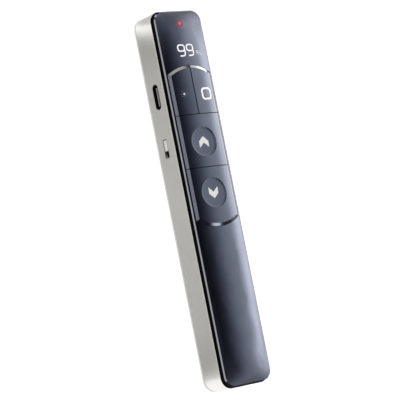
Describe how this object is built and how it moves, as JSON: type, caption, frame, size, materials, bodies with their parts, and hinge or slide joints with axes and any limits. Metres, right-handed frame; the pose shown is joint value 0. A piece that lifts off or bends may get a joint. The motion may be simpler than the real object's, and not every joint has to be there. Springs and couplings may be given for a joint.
{
  "type": "wireless presentation clicker",
  "caption": "Slim hand-held wireless presentation clicker with a crowned gloss face, raised press buttons, laser nose, side charging port, power slide switch and a receiver stored in the tail.",
  "frame": {"origin": "middle of the flat back face, on which it lies", "axes": "+Z out of the button face, +Y towards the nose with the laser, -X the side with the charging port and the power switch"},
  "size_m": [0.0214, 0.136, 0.0141],
  "materials": {
    "silver_paint": "satin silver paint on ABS",
    "black_band": "satin black ABS",
    "panel_gloss": "high-gloss dark blue-grey",
    "button_gloss": "high-gloss dark blue-grey",
    "switch_steel": "stamped, plain",
    "plunger_plastic": "moulded, plain",
    "board_laminate": "green solder mask over glass laminate",
    "chip_epoxy": "moulded epoxy",
    "crystal_can": "drawn can",
    "antenna_body": "fired, matt",
    "display_block": "moulded, matt",
    "led_epoxy": "clear cast",
    "lens_red": "translucent red, polished",
    "socket_steel": "drawn and plated",
    "socket_plastic": "moulded, matt",
    "knob_plastic": "silver-white moulded",
    "barrel_brass": "turned",
    "lens_clear": "polished",
    "cell_foil": "embossed foil",
    "foam_pad": "closed-cell foam",
    "nickel_strip": "rolled",
    "screw_steel": "black zinc plate",
    "receiver_black": "fine texture",
    "bay_black": "moulded, matt",
    "magnet_nickel": "nickel plated"
  },
  "bodies": {
    "casing": {"antenna": "antenna_body", "battery": "cell_foil", "battery_pad": "foam_pad", "battery_tabs": "nickel_strip", "bay_magnet": "magnet_nickel", "casing_screws": "screw_steel", "controller_chip": "chip_epoxy", "display_module": "display_block", "down_switch_body": "switch_steel", "front_panel": "panel_gloss", "indicator_led": "led_epoxy", "indicator_lens": "lens_red", "laser_barrel": "barrel_brass", "laser_driver_board": "board_laminate", "laser_leads": "nickel_strip", "laser_lens": "lens_clear", "laser_switch_body": "switch_steel", "laser_window": "lens_clear", "main_board": "board_laminate", "mid_frame": "black_band", "mode_switch_body": "switch_steel", "power_switch_body": "switch_steel", "radio_chip": "chip_epoxy", "rear_shell": "silver_paint", "receiver_bay": "bay_black", "timing_crystal": "crystal_can", "up_switch_body": "switch_steel", "usb_socket_shell": "socket_steel", "usb_socket_tongue": "socket_plastic"},
    "laser_key": {"laser_button": "button_gloss", "laser_switch_plunger": "plunger_plastic"},
    "mode_key": {"mode_button": "button_gloss", "mode_switch_plunger": "plunger_plastic"},
    "up_key": {"up_button": "button_gloss", "up_switch_plunger": "plunger_plastic"},
    "down_key": {"down_button": "button_gloss", "down_switch_plunger": "plunger_plastic"},
    "power_slider": {"power_switch_knob": "knob_plastic"},
    "receiver": {"receiver_body": "receiver_black", "receiver_plug": "socket_steel", "receiver_tongue": "socket_plastic"}
  },
  "joints": [
    {"name": "laser_press", "type": "slide", "parent": "casing", "child": "laser_key", "axis": [0, 0, -1], "range_m": [0, 0.00035], "stiffness_N_per_m": 1500},
    {"name": "mode_press", "type": "slide", "parent": "casing", "child": "mode_key", "axis": [0, 0, -1], "range_m": [0, 0.00035], "stiffness_N_per_m": 1500},
    {"name": "up_press", "type": "slide", "parent": "casing", "child": "up_key", "axis": [0, 0, -1], "range_m": [0, 0.00035], "stiffness_N_per_m": 1500},
    {"name": "down_press", "type": "slide", "parent": "casing", "child": "down_key", "axis": [0, 0, -1], "range_m": [0, 0.00035], "stiffness_N_per_m": 1500},
    {"name": "power_slide", "type": "slide", "parent": "casing", "child": "power_slider", "axis": [0, -1, 0], "range_m": [0, 0.0023]},
    {"name": "receiver_pull", "type": "slide", "parent": "casing", "child": "receiver", "axis": [0, -1, 0], "range_m": [0, 0.018]}
  ]
}
